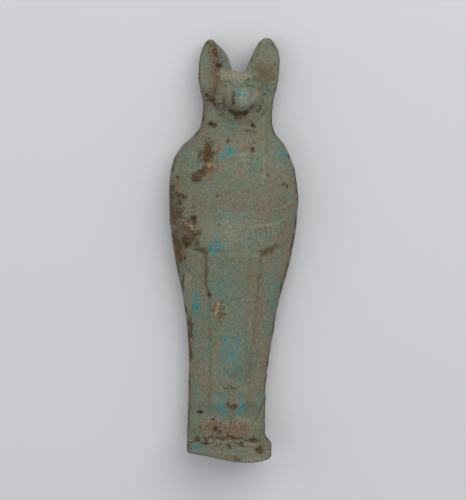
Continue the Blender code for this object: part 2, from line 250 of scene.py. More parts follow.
# %% The face
MOUTH = ((-3.1, 132.7), (-1.4, 132.3), (0.3, 132), (2.6, 132.6))
LIP_LINE = ((2.6, 132.8), (4.2, 134.4), (5.9, 135), (7.4, 135), (7.7, 133.8), (6.9, 132.4))
UNDER_LIP = ((-2.6, 130.4), (-1, 130.1), (0.6, 130.2), (1.9, 131))
FACE_BORDER = ((-9.6, 136.2), (-8.5, 134.8), (-7.3, 133.9), (-6.6, 132))
CHEEK_LINE = ((-4.9, 139.4), (-5.7, 138), (-6, 135.6), (-5, 133.6))
MUZZLE_SHADE = ((-2.2, 139.8), (-2.4, 137.6), (-2.1, 136))
BROW_FOLDS = ((-4.4, 144.6), (-2.6, 143.6), (-1, 142.3), (1.6, 145), (3.2, 145.4))
LID_FOLD = ((-6.1, 140.6), (-4.2, 141.1), (-2.2, 141.5))
FACE_CUTS = (
    # line, depth, width
    (MOUTH, 1.3, 1.2), (LIP_LINE, 0.7, 0.8), (UNDER_LIP, 0.6, 0.8), (CHEEK_LINE, 0.7, 0.8),
    (FACE_BORDER, 0.8, 1.1), (MUZZLE_SHADE, 0.6, 0.9),
    (((10.1, 138.6), (9.6, 136.4), (8.6, 133)), 0.8, 1.1),
    (((2.1, 142.8), (4.2, 142), (6.6, 140.8)), 0.45, 0.7),
)


def nose_patch(x, s):
    """1 where a thick patch of glaze is left on the muzzle. Its edge is ragged and stands up."""
    x, s = wavering(x, s, 0.5, 181)
    return ramp(1.3, 0.8, (abs(x - 1.2) / 3) ** 3 + (abs(s - 137.7) / 4.5) ** 3)


def face(x, s):
    """The muzzle is a blunt bulb on broad lips, between two cheek lobes."""
    base = mound(x, s, (0.9, 138.2), (7.8, 6.6), 0.9)
    lips = boss(x, s, (0.9, 137), (5.6, 4.4))
    bridge = boss(x, s, (1.1, 137.9), (3.1, 4.9))
    muzzle = 9 * (0.26 * base + 0.26 * lips + 0.48 * bridge)
    jaw = mound(x, s, (0.6, 130.4), (5.2, 2.6))
    muzzle = muzzle * (1 + 0.05 * rough(x, s, 1.8, 171)) + 0.3 * nose_patch(x, s)
    x, s = wavering(x, s, 0.7)
    cuts = sum(depth * strokes(x, s, line, width) for line, depth, width in FACE_CUTS)
    lobes = mound(x, s, (-4, 136.2), (1.9, 2.8)) + mound(x, s, (5.4, 137.6), (2, 3))
    folds = strokes(x, s, BROW_FOLDS, 0.9) + 0.7 * strokes(x, s, LID_FOLD, 0.7)
    eyes = mound(x, s, (-4.9, 142.7), (1.8, 1.2)) + mound(x, s, (4.1, 143.3), (1.8, 1.2))
    sockets = mound(x, s, (-5, 142.5), (3.6, 2.7)) + mound(x, s, (4.3, 143), (3.6, 2.7))
    return muzzle + 1.2 * jaw - cuts + 0.6 * lobes + 0.65 * folds + 0.8 * eyes - 1.2 * sockets


# %% [markdown]
# ## Lappets, collar and legs
# Two lappets of the headcloth hang on the chest over a broad collar: curved bands of short
# beads, with a row of drop beads along the lower edge. A plain band runs down the shins
# between two grooves. All this is low relief, so it is carved as height over the front and
# not modelled as separate pieces.

# %% Lappets
def lappets(x, s):
    """The left lappet has sunk between its borders, and the right one keeps only its outer ridge."""
    relief = np.zeros_like(x)
    x, s = wavering(x, s, 0.6)
    for inner, outer in ((-8.4, -13), (5, 10.4)):
        middle, half = (inner + outer) / 2, abs(outer - inner) / 2
        band = ramp(half + 0.5, half - 0.5, abs(x - middle))
        relief += 0.6 * band * ramp(LAPPET_FOOT - 1.5, LAPPET_FOOT + 1.5, s) * ramp(CHIN + 2, CHIN - 3, s)
    sunk = ramp(2, 1.1, abs(x + 10.9)) * ramp(112, 113.4, s) * ramp(123, 121, s)
    ridges = strokes(x, s, ((10.2, 124.5), (9.6, 118), (9.2, 111.8)), 0.8)
    ridges += 0.7 * strokes(x, s, ((-14.4, 121), (-14, 112)), 0.8)
    glyph = strokes(x, s, ((6.6, 116.2), (5.8, 114.1), (6.2, 112.2), (7.6, 112.8), (7.9, 115.4)), 0.55)
    return relief - 0.9 * sunk + 0.45 * ridges + 0.3 * glyph


# %% Collar and throat
def collar_line(x):
    """Height of the collar's lower edge above its height in the middle."""
    return 0.5 * ramp(6, 16, abs(x)) + 0.016 * np.clip(abs(x) - 6, 0, 20) ** 2


BEAD_ROWS = ((89.3, 1.2), (94.6, 0.7), (99.6, 0.6), (104.2, 0.5), (108.4, 0.4))
BEAD_PITCH = 2.15
HOLLOWS = (
    ((-15.3, 80.5), (-14.1, 80), (-12.7, 80), (-11, 79.4)),
    ((10.6, 78.9), (13.2, 80.3), (15.4, 82)),
)


def collar(x, s):
    """The collar's plate, its hollows, and the bands of beads, fainter where it is more worn."""
    above = s - COLLAR_FOOT - collar_line(x) + 0.5 * rough(x, s, 2, 25)
    plate = (0.2 + 0.35 * ramp(7, 12, abs(x))) * ramp(-0.5, 1, above)
    plate *= ramp(NECK + 2, NECK - 6, s)
    ragged = wavering(x, s, 0.7)
    hollows = 0.8 * strokes(*ragged, HOLLOWS[0], 1.5) + strokes(*ragged, HOLLOWS[1], 2)
    inside = ramp(1, 0.86, abs(x) / np.where(x < 0, left_edge(s), right_edge(s)))
    worn = 0.5 + 0.6 * rough(x, s, 7, 21) + 0.4 * ramp(-4, 8, x)
    relief = np.zeros_like(x)
    for k, (row, strength) in enumerate(BEAD_ROWS):
        curve = row + 0.009 * (x - 0.5) ** 2
        border = ridge(s - curve, 0.55)
        angle = (x - 0.5) / (1 - 0.012 * (s - 80))
        beads = np.cos(2 * np.pi * (angle / BEAD_PITCH + 0.5 * k))
        low = curve - (6.2 if k == 0 else 4.4)
        in_row = ramp(low, low + 0.8, s) * ramp(curve - 0.4, curve - 1.2, s)
        relief += strength * (0.34 * border + 0.34 * beads * in_row)
    clear_of_lappets = 1 - ramp(LAPPET_FOOT - 2, LAPPET_FOOT - 0.5, s)
    return plate - 0.9 * hollows + relief * inside * np.clip(worn, 0.1, 1.3) * clear_of_lappets


def throat(x, s):
    """Faint curved lines across the throat, between the lappets."""
    between = ramp(-8.2, -6.8, x) * ramp(4.8, 3.6, x)
    lines = sum(ridge(s - at - 0.02 * x**2, 0.5) for at in (112.9, 114.8, 118.4))
    return -0.22 * lines * between


# %% Legs
LEG_GROOVES = (
    ((-10.9, 79.2), (-10.7, 72.5), (-10.4, 66.6), (-9.2, 62.6), (-8.6, 50), (-7.9, 32), (-8.6, 20)),
    ((9.9, 78.4), (9.7, 70.2), (9, 64), (8.2, 50), (7.3, 36), (7.6, 20)),
)


def groove_strength(s, seed):
    """How deep a leg groove still is: clear under the collar, and coming and going further down."""
    return ramp(56, 64, s) + (1 - ramp(56, 64, s)) * (0.35 + 0.45 * noise(s * 0, s, 6, seed))


def legs(x, u, s):
    """The band down the shins, its two grooves, and worn strokes in it that aren't signs."""
    along = ramp(TOE_TOP + 3, TOE_TOP + 8, s) * ramp(COLLAR_FOOT, COLLAR_FOOT - 2, s)
    ragged = wavering(x, s, 0.25)
    left = 0.55 * strokes(*ragged, LEG_GROOVES[0], 1.1) * groove_strength(s, 34)
    right = 0.30 * strokes(*ragged, LEG_GROOVES[1], 1) * groove_strength(s, 36)
    inside = ramp(0.56, 0.44, abs(u))
    lines = ridge(x + 5.2 - 0.02 * (s - 50), 0.6) + ridge(x - 4.6 - 0.03 * (s - 50), 0.6)
    worn_signs = 0.14 * rough(x * 1.3, s * 0.6, 1.7, 33, 2) * ramp(5.2, 4.2, abs(x))
    return along * (0.45 * inside - left - right - 0.26 * lines * groove_strength(s, 38) + worn_signs)


# %% [markdown]
# ## Wear, breaks and holes
# Faience is full of bubbles, and burial opens them into pits. Soil holds on as a crust in
# the hollows and along the arm. Each pit and crust is placed where the real figure has it,
# with a size of its own, and its edge is broken up by noise so that none looks drawn. A pit
# is given as x, s, radius and depth. A spot of anything else, here and in the masks further
# on, is given as x, s, half its width, half its length and its strength.

# %% Pits
PITS = (
    # head and throat
    (9.3, 139.3, 0.6, 0.8), (-13.6, 129.9, 0.7, 0.7), (-9.7, 127.5, 1, 0.9), (5.4, 127.8, 0.8, 0.7),
    (2.8, 125.6, 0.6, 0.4), (5.9, 125.5, 0.8, 0.5), (-3.9, 121.9, 0.8, 0.8), (5.6, 121.3, 0.6, 0.5),
    (5.6, 118.8, 0.8, 0.7), (-10.3, 133.4, 0.5, 0.5), (8.8, 122.6, 0.6, 0.4), (4, 151.8, 0.9, 0.5),
    (12.8, 150.7, 0.7, 0.6), (-8.3, 149.6, 1.1, 0.6), (-9.2, 154.4, 0.6, 0.5), (-12.4, 138.4, 0.7, 0.6),
    # chest
    (-9.1, 105.4, 0.5, 0.4), (-7.3, 101.1, 0.6, 0.7), (11.3, 109.3, 0.6, 0.6), (17.5, 105.9, 0.8, 0.9),
    (18.9, 105.1, 0.7, 0.7), (18, 99, 0.5, 0.6), (-6.4, 90, 0.7, 0.4), (-22.4, 107, 0.9, 0.7),
    (-15.8, 92.1, 0.9, 0.7), (-18.3, 81.9, 1.3, 0.6), (-17.1, 72, 0.6, 0.6), (-18.6, 76.4, 0.5, 0.5),
    # legs
    (-9.1, 63, 0.9, 0.9), (9.7, 76.2, 0.6, 0.5), (9.6, 70.2, 0.6, 0.6), (9.1, 66.5, 0.5, 0.4),
    (-11.7, 17.5, 0.9, 0.8), (-6.3, 15.2, 0.6, 0.7), (-3, 14.3, 0.5, 0.4), (-5.4, 11.7, 0.8, 0.8),
    (-3.8, 10.7, 0.6, 0.6), (-10.9, 11.6, 0.5, 0.5), (-14, 12.4, 0.5, 0.4), (1.4, 19.7, 0.9, 0.5),
    # plinth
    (-8.7, 6.2, 0.8, 0.6), (0.1, 5.4, 0.7, 0.7), (-2.7, 3.5, 0.6, 0.6), (4.4, 7.2, 0.6, 0.6),
    (10.4, 5.4, 0.8, 0.7), (11.4, 6.8, 0.5, 0.5), (12.2, 3.8, 0.6, 0.6), (-14.3, 2.6, 0.7, 0.5),
)

# %% Soil, straw and stains
SOIL = (
    # lappet and below it
    (-10.9, 116.3, 2.4, 5.3, 1), (-11.6, 111.8, 1.6, 1.6, 0.8), (-12.8, 110, 1.6, 1.4, 1),
    (-14.8, 107.9, 2.3, 1.8, 1), (-14.1, 116.3, 0.7, 4.6, 0.7),
    # arm
    (-24.6, 98, 1.6, 9, 0.55), (-24.2, 102.9, 1.3, 1.2, 0.8), (-19.8, 100.4, 1.8, 1.1, 0.85),
    (-21.8, 100.7, 1.6, 1.3, 0.75), (-21.4, 98, 1.2, 1.6, 0.7), (-21.4, 94.3, 1.7, 1.4, 0.7),
    (-16.1, 96.6, 0.7, 1.4, 0.7), (-15.8, 92.1, 1.6, 1.8, 1), (-23.4, 91, 1.8, 3.4, 0.6),
    (-18.6, 82.2, 2.6, 2.2, 0.75), (-21.9, 86.9, 1.4, 0.9, 0.6), (-13.7, 86.9, 1.2, 1.1, 0.9),
    (-15.1, 85.8, 1.4, 1.5, 0.9), (-17.3, 84.4, 3, 1.8, 1), (-14.2, 83.6, 0.9, 2, 0.8),
    (-22.4, 83, 2, 3.6, 0.85), (-21.2, 79, 1.5, 3.2, 0.75), (-20.3, 75.6, 0.9, 3, 0.7),
    (-18.7, 76.4, 0.5, 1.4, 0.8),
    # edges
    (20, 74.5, 0.6, 2, 0.9), (17.9, 65.1, 0.6, 2.2, 0.9), (22.6, 90, 0.7, 4.5, 0.8),
    (21.2, 81, 0.6, 4, 0.8), (-16, 48, 1.4, 5.4, 0.9), (-15.8, 39.5, 1, 4, 0.8), (-19.2, 68, 0.5, 6, 0.6),
    (-16.1, 20, 0.5, 12, 0.5), (13.3, 20, 0.4, 3.5, 0.7), (-15.6, 5, 0.8, 3.6, 0.7),
    # head, legs and feet
    (-12.5, 159, 0.8, 0.6, 0.8), (-11.2, 157.7, 0.7, 0.7, 0.8), (-10, 155.6, 0.8, 1.2, 0.5),
    (-9.2, 153.6, 0.8, 0.9, 0.8), (-8.2, 149.5, 1.3, 1.1, 0.8), (7.2, 159.4, 0.5, 0.8, 0.8),
    (-11, 137, 2.4, 1.6, 0.5), (-5, 55.4, 2.6, 1.3, 0.6), (-4, 60.5, 1.2, 1.4, 0.5),
    (-0.4, 27.3, 2.6, 1.4, 0.55), (-0.7, 21.3, 1.3, 0.8, 0.8), (0.9, 20.3, 1.8, 1, 0.9),
    (-8.7, 6.4, 1.8, 1, 0.8), (-11.7, 17.5, 1.3, 1.2, 0.9), (-5.4, 11.7, 1.2, 1.1, 0.9),
    (-3.6, 10.6, 1, 0.9, 0.9), (-6.3, 15.2, 0.8, 0.8, 0.8), (-12.6, 8, 2, 0.8, 0.7), (-4, 8.4, 3, 0.6, 0.7),
    (2.6, 8.6, 3, 0.6, 0.7), (8.6, 8.3, 3, 0.6, 0.7), (11.2, 5.6, 1.6, 1.9, 0.8), (-0.2, 5.2, 1, 0.9, 0.8),
    (4.6, 6.9, 1.2, 0.8, 0.7), (-13.6, 129.9, 1, 1.8, 0.8), (-9.7, 127.6, 1.5, 1.5, 0.8),
    (5.4, 127.7, 1.4, 1, 0.7), (4, 125.7, 2.4, 0.8, 0.6), (5.6, 118.9, 0.8, 1.2, 0.8),
    (0.5, 1.6, 6, 0.9, 0.5),
)
STRAW = (
    (-10.3, 113, 1.5, 1.4, 0.8), (-11, 110.8, 0.9, 0.5, 0.8), (-9.9, 114.6, 0.8, 0.7, 0.6),
    (-14.9, 108.6, 0.8, 0.7, 0.5), (-5.6, 60, 0.8, 1.1, 1), (-6, 58, 1.1, 1.9, 1),
    (-6.6, 56, 0.8, 1.2, 0.9), (-1.8, 134.6, 0.8, 0.9, 1.3), (-15.7, 43.6, 1.1, 2.4, 0.6),
    (6.6, 30, 0.6, 0.4, 0.8), (-10, 27.6, 0.5, 1, 0.6), (-10.2, 24.4, 0.4, 1.3, 0.6),
    (-3, 90.4, 1.2, 0.6, 0.4), (-21.4, 94.6, 0.8, 0.5, 0.5), (-16, 69, 2.2, 4, 0.25),
)
# Brown stains on the glaze. The spots beside the muzzle's left side, under the mouth, along the face's left
# border and in the two hollows under the collar's corners are painted shade in the same brown.
STAINS_AND_SHADE = (
    (-8.9, 146.5, 2.7, 9, 1), (-10.6, 154, 2.4, 5, 1), (8.2, 147.2, 4.2, 4.6, 1.2),
    (10.6, 143.6, 1.4, 1.6, 0.7), (-10.6, 136.4, 3.4, 2.4, 0.7), (0.4, 131.2, 3.4, 1.8, 0.8),
    (-1, 11.6, 15, 4, 0.72), (6, 71, 2, 5.5, 0.6), (9.4, 59, 2, 7, 0.6), (8, 48, 1.6, 8, 0.5),
    (-17, 67, 2.2, 4.6, 0.4), (14, 106, 8, 5, 0.3), (-10, 123, 3, 3, 0.4), (1, 124.6, 6, 1.6, 0.4),
    (-9.8, 74, 1, 6, 0.5), (-2, 99, 6, 6, 0.25), (3, 90.6, 5, 1.6, 0.4), (3.4, 28.8, 3, 2, 0.4),
    (9.4, 32, 2, 12, 0.35), (-13.5, 31, 1.4, 6, 0.3), (-7.4, 117, 0.9, 6, 0.8), (-9.8, 111, 2.6, 4, 0.9),
    (4.4, 119.4, 3.4, 2, 0.6), (-22.4, 95, 3.6, 11, 0.7), (-18, 87, 4.6, 5, 0.8), (-21.4, 78, 3, 6, 0.8),
    (-13, 109, 4.5, 3.6, 0.6), (-5.8, 57.6, 3, 4, 0.6), (9.6, 40, 5, 18, 0.35), (-12, 40, 4, 12, 0.3),
    (13.2, 80.2, 3.6, 1.8, 0.7), (-12.8, 80.2, 3, 1.2, 0.6), (-2.2, 137, 0.9, 3.4, 0.7),
)


# %% Spots, pits and crusts as heights and masks
def cover(x, s, spots, ragged=0.5, size=1.5, seed=60):
    """1 in the middle of the spots, fading to 0 outside them, with edges that noise breaks up."""
    uneven = ragged * rough(x, s, size, seed)
    total = np.zeros_like(x)
    for cx, cs, half_wide, half_long, strength in spots:
        r = np.hypot((x - cx) / half_wide, (s - cs) / half_long)
        total = np.maximum(total, strength * ramp(1.45, 0.25, r + uneven))
    return total


def pits(x, s):
    """How far each point has sunk into a pit."""
    uneven = 0.9 + 0.35 * noise(x, s, 0.8, 71)
    x, s = wavering(x, s, 0.5, 72)
    sunk = np.zeros_like(x)
    for k, (px, ps, radius, depth) in enumerate(PITS):
        longer = 1 + 0.35 * np.sin(2.3 * k)
        radii = (radius * uneven / longer, radius * uneven * longer)
        sunk = np.maximum(sunk, depth * mound(x, s, (px, ps), radii, 0.8))
    return sunk


def crusts(x, s):
    """How much soil there is, from 0 to 1."""
    return cover(x, s, SOIL, 0.6, 1.4, 81) * (0.6 + 0.4 * ramp(-0.5, 0.25, rough(x, s, 1.1, 88)))


# %% The joint, the crack and general wear
JOINT = (
    (-15.6, 6.6), (-11, 7.5), (-7.3, 8), (-3.6, 8.3), (0.3, 8.5), (4, 8.3), (7.8, 8.2), (12.3, 7.9),
)
CRACK = ((12.4, 20.4), (11.3, 17.9), (9.5, 14.9), (8, 12.7))


def joint_line(x, s, width):
    """The line between toes and plinth, lost in places."""
    return strokes(*wavering(x, s, 0.3), JOINT, width) * ramp(-0.3, 0.15, rough(x, s, 1.1, 47))


def crack_line(x, s, width):
    """The crack across the right ankle. It wanders a little and fades downwards."""
    return strokes(x + 0.25 * noise(x, s, 1.5, 49), s, CRACK, width) * ramp(11.5, 17, s)


def wear(x, s):
    """Unevenness of the whole surface, with losses along the joint and the ankle's crack."""
    broad = 0.20 * rough(x, s, 7, 41) + 0.16 * rough(x, s, 1.7, 44)
    return broad - 0.7 * joint_line(x, s, 0.8) - 0.5 * crack_line(x, s, 0.5)


# %% [markdown]
# ## Press the form
# The figure is the skin of a block of cells, like a stack of sugar cubes with the notch
# between the ears left out. Each corner of the block is then moved to its place on the
# figure. This keeps one closed surface whatever the relief does. The back is flat, so its
# faces are four cells wide, and the mesh stays light.

# %% The lattice's columns and rows
LEFT_COLUMNS, CROWN_COLUMNS, RIGHT_COLUMNS, LAYERS = 58, 10, 66, 12
EDGE_CROWDING, HEAD_CROWDING = 1.45, 1.12
BANDS = (
    (0, 8), (1.6, 10), (PLINTH_TOP - 0.8, 8), (PLINTH_TOP + 1, 46), (ANKLE, 106), (COLLAR_FOOT - 3, 16),
    (COLLAR_FOOT + 3, 78), (NECK - 10, 26), (NECK, 20), (CHIN - 1, 64), (CROWN, 34), (158.6, 8),
    (EAR_TIP, 0),
)
END_ROUNDING, FLAT_SHARE, BACK_RADIUS, BACK_STRIDE, LEFT_EAR_SHORTER = 1.4, 0.74, 3.5, 4, 1.1
TIP_DROP, CROWN_FALL, PLINTH_DRAW_IN = 1.7, 2.6, 2.3

left_of_crown = -left_ear_inside(CROWN) / left_edge(CROWN)
right_of_crown = right_ear_inside(CROWN) / right_edge(CROWN)
SHARES = np.concatenate([
    -1 + (left_of_crown + 1) * (np.arange(LEFT_COLUMNS) / LEFT_COLUMNS) ** EDGE_CROWDING,
    np.linspace(left_of_crown, right_of_crown, CROWN_COLUMNS, endpoint=False),
    1 - (1 - right_of_crown) * (np.arange(RIGHT_COLUMNS, -1, -1) / RIGHT_COLUMNS) ** EDGE_CROWDING,
])
STATIONS = np.concatenate(
    [np.linspace(low, high, count, endpoint=False) for (low, count), (high, _) in zip(BANDS, BANDS[1:])]
    + [[EAR_TIP]]
)
CROWN_ROW = int(np.argmin(abs(STATIONS - CROWN)))
COLUMNS, ROWS = len(SHARES) - 1, len(STATIONS) - 1
CROWN_LEFT, CROWN_RIGHT = LEFT_COLUMNS, LEFT_COLUMNS + CROWN_COLUMNS
print(f"A block of {COLUMNS} x {ROWS} x {LAYERS} cells")


# %% Across the figure
def plinth_mix(s):
    return ramp(PLINTH_TOP + 0.7, PLINTH_TOP - 0.5, s)


def end_inset(s):
    """How much the section draws in where it rounds into the underside or an ear's tip."""
    from_end = np.clip(np.minimum(s, EAR_TIP - s), 0, END_ROUNDING)
    return END_ROUNDING - np.sqrt(END_ROUNDING**2 - (END_ROUNDING - from_end) ** 2)


def nibbled(s, place, seed):
    """Small losses along a side. They fade out at its ends."""
    return 0.16 * rough(s * 0 + place, s, 2.6, seed) * ramp(0, 4, s) * ramp(EAR_TIP, EAR_TIP - 5, s)


def across_at(column, s):
    """Distance from the middle line, and the share of the half width that it is."""
    mix, inset = plinth_mix(s), end_inset(s) * (s < CROWN)
    left = left_edge(s) * (1 - mix) + PLINTH_WIDE / 2 * mix - inset + nibbled(s, 0, 51)
    right = right_edge(s) * (1 - mix) + PLINTH_WIDE / 2 * mix - inset + nibbled(s, 50, 52)
    share = SHARES[column]
    evenness = 1 - (1 - HEAD_CROWDING / EDGE_CROWDING) * ramp(NECK - 6, CHIN, s)
    left_inside = np.where(s > CROWN, -left_ear_inside(s), left * left_of_crown)
    part = clamp((share + 1) / (left_of_crown + 1))
    from_left = -left + part**evenness * (left_inside + left)
    right_inside = np.where(s > CROWN, right_ear_inside(s), right * right_of_crown)
    part = clamp((1 - share) / (1 - right_of_crown))
    from_right = right - part**evenness * (right - right_inside)
    crown = share * np.where(share < 0, left, right)
    x = np.where(column <= CROWN_LEFT, from_left, np.where(column >= CROWN_RIGHT, from_right, crown))
    return x, x / np.where(x < 0, left, right)


# %% Heights of the front and the back
def front_height(x, u, s):
    """Height of the carved and worn front over the back."""
    head = ramp(NECK + 1, CHIN + 2, s)
    height = body_dome(u, s) * (1 - head) + head_slab(x, u, s) * head
    height = height + (collar(x, s) + throat(x, s)) * ramp(1, 0.8, abs(u)) + lappets(x, s)
    height = height + legs(x, u, s) + ears(x, s) + face(x, s)
    mix = plinth_mix(s)
    plinth = PLINTH_DEEP * (1 - 0.04 * abs(u) ** 4) - end_inset(s)
    height = (height - end_inset(s) * (s > CROWN)) * (1 - mix) + plinth * mix
    soil = crusts(x, s)
    return height + wear(x, s) - pits(x, s) + soil * (0.12 + 0.3 * rough(x, s, 1, 90))


def back_height(u, s):
    out = clamp((abs(u) - FLAT_SHARE) / (1 - FLAT_SHARE))
    radius = BACK_RADIUS * (1 - 0.8 * ramp(CROWN, EAR_TIP, s))
    return radius * (1 - np.sqrt(1 - out**2)) + ear_back_line(np.maximum(s, CROWN)) + end_inset(s)


# %% Ends of the figure
# How far the worn underside slopes up, read more closely than for the solid
underside = smooth_through(
    (-16.2, 3), (-13, 2.6), (-8.9, 2.1), (-3.8, 1.2), (-0.7, 0.6), (2.5, 0.15), (6.9, 0), (11.5, 0.4),
    (14, 1.1), (16.2, 2.2),
)


def plinth_skew(x, s):
    """The underside slopes up to a worn left corner, and the toes arch over the plinth."""
    return underside(x) * ramp(PLINTH_TOP, 0, s) + 1 * mound(x, s, (-3, PLINTH_TOP), (13, 8))


def crown_fall(x, s, share_through):
    """The crown falls away to the back, so that the notch between the ears is deepest there."""
    between = np.exp(-(((x + 1) / 3.2) ** 4))
    fall = (0.7 + CROWN_FALL * (1 - share_through)) * between - 0.8 * np.exp(-(((x + 3) / 1.5) ** 2))
    return fall * ramp(CROWN - 9, CROWN, s) * ramp(CROWN + 5, CROWN, s)


def tip_drop(x, s):
    """How much lower the sides of an ear's tip are than its middle."""
    inside = np.where(x < 0, -left_ear_inside(s), right_ear_inside(s))
    outside = np.where(x < 0, -left_edge(s), right_edge(s))
    across = (2 * x - inside - outside) / (outside - inside)
    return TIP_DROP * ramp(CROWN + 2, EAR_TIP, s) * abs(across) ** 2.4


# %% Where a corner of the block goes
def place(column, row, layer):
    """Carver's coordinates of corners of the block, and their place in the figure."""
    s = STATIONS[row]
    x, u = across_at(column, s)
    front, back = front_height(x, u, s), back_height(u, s)
    z = back + (front - back) * layer / LAYERS
    # The walls of a pressed figure are never straight: they swell and dent a little halfway up
    wall = np.sin(np.pi * layer / LAYERS) * (abs(u) > 0.999) * ramp(0, 5, s)
    x = x + wall * 0.3 * rough(z, s, 2.5, 95)
    shortened = LEFT_EAR_SHORTER * ramp(CROWN + 2, EAR_TIP, s) * (x < 0)
    y = s + plinth_skew(x, s) - crown_fall(x, s, layer / LAYERS) - shortened - tip_drop(x, s)
    drawn_in = PLINTH_DRAW_IN * plinth_mix(s) * ramp(1, 0.45, layer / LAYERS) * clamp(u) ** 2
    return x, s, u, np.stack([(x - drawn_in) * ACROSS, y * ALONG, z * THROUGH], axis=-1)


# %% The skin of the block
def index_of(column, row, layer):
    return (np.asarray(column) * (ROWS + 1) + row) * (LAYERS + 1) + layer


def wall_quads(fixed, value, first, second, outwards):
    """Quads of one flat side of the block; fixed names the axis that the side is square to."""
    a, b = np.meshgrid(np.arange(*first), np.arange(*second), indexing="ij")
    ring = ((a, b), (a + 1, b), (a + 1, b + 1), (a, b + 1))
    corners = {
        "column": [(value, p, q) for p, q in ring],
        "row": [(q, value, p) for p, q in ring],
        "layer": [(p, q, value) for p, q in ring],
    }[fixed]
    quads = np.stack([index_of(*corner).ravel() for corner in corners], axis=1)
    return quads if outwards else quads[:, ::-1]


def back_polygons():
    """The back in wide cells. Those at its rim keep every corner of the walls that they meet."""
    columns = sorted({*range(0, COLUMNS, BACK_STRIDE), CROWN_LEFT, CROWN_RIGHT, COLUMNS})
    rows = sorted({*range(0, ROWS, BACK_STRIDE), CROWN_ROW, ROWS})
    polygons = []
    for c0, c1 in zip(columns, columns[1:]):
        in_notch = CROWN_LEFT <= c0 < CROWN_RIGHT
        for r0, r1 in zip(rows, rows[1:]):
            if in_notch and r0 >= CROWN_ROW:
                continue
            above = r0 >= CROWN_ROW
            top_open = r1 == ROWS or (in_notch and r1 == CROWN_ROW)
            left_open = c0 == 0 or (above and c0 == CROWN_RIGHT)
            right_open = c1 == COLUMNS or (above and c1 == CROWN_LEFT)
            ring = [(c0, r) for r in range(r0, r1, 1 if left_open else r1 - r0)]
            ring += [(c, r1) for c in range(c0, c1, 1 if top_open else c1 - c0)]
            ring += [(c1, r) for r in range(r1, r0, -1 if right_open else r0 - r1)]
            ring += [(c, r0) for c in range(c1, c0, -1 if r0 == 0 else c0 - c1)]
            polygons.append([int(index_of(c, r, 0)) for c, r in ring])
    return polygons


through, beside_notch = (0, LAYERS), (CROWN_ROW, ROWS)
walls = [wall_quads(*side) for side in (
    ("layer", LAYERS, (0, COLUMNS), (0, CROWN_ROW), True),
    ("layer", LAYERS, (0, CROWN_LEFT), beside_notch, True),
    ("layer", LAYERS, (CROWN_RIGHT, COLUMNS), beside_notch, True),
    ("column", 0, (0, ROWS), through, False),
    ("column", COLUMNS, (0, ROWS), through, True),
    ("column", CROWN_LEFT, beside_notch, through, True),
    ("column", CROWN_RIGHT, beside_notch, through, False),
    ("row", 0, through, (0, COLUMNS), False),
    ("row", CROWN_ROW, through, (CROWN_LEFT, CROWN_RIGHT), True),
    ("row", ROWS, through, (0, CROWN_LEFT), True),
    ("row", ROWS, through, (CROWN_RIGHT, COLUMNS), True),
)]
polygons = np.concatenate(walls).tolist() + back_polygons()
used, flat = np.unique(np.concatenate([np.array(p) for p in polygons]), return_inverse=True)
column, rest = np.divmod(used, (ROWS + 1) * (LAYERS + 1))
row, layer = np.divmod(rest, LAYERS + 1)
X, S, U, points = place(column, row, layer)
low, high = points.min(0), points.max(0)
middle = (LOW + HIGH) / 2
points -= [(low[0] + high[0]) / 2 - middle[0], (low[1] + high[1]) / 2 - middle[1], low[2] - LOW[2]]
print("Its box in mm:", np.round((high - low) * 1000, 2))

# %% Make the mesh
def add_object(name, data):
    made = bpy.data.objects.new(name, data)
    bpy.context.scene.collection.objects.link(made)
    return made


starts = np.cumsum([0] + [len(p) for p in polygons])
faces = [flat[a:b].tolist() for a, b in zip(starts, starts[1:])]
mesh = bpy.data.meshes.new("ushabti_faience")
mesh.from_pydata(points.tolist(), [], faces)
mesh.shade_smooth()
figure = add_object("ushabti_faience", mesh)
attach(figure, "root")
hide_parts("ushabti")
triangles = sum(len(p) - 2 for p in polygons)
print(f"{len(points)} corners, {triangles} triangles")
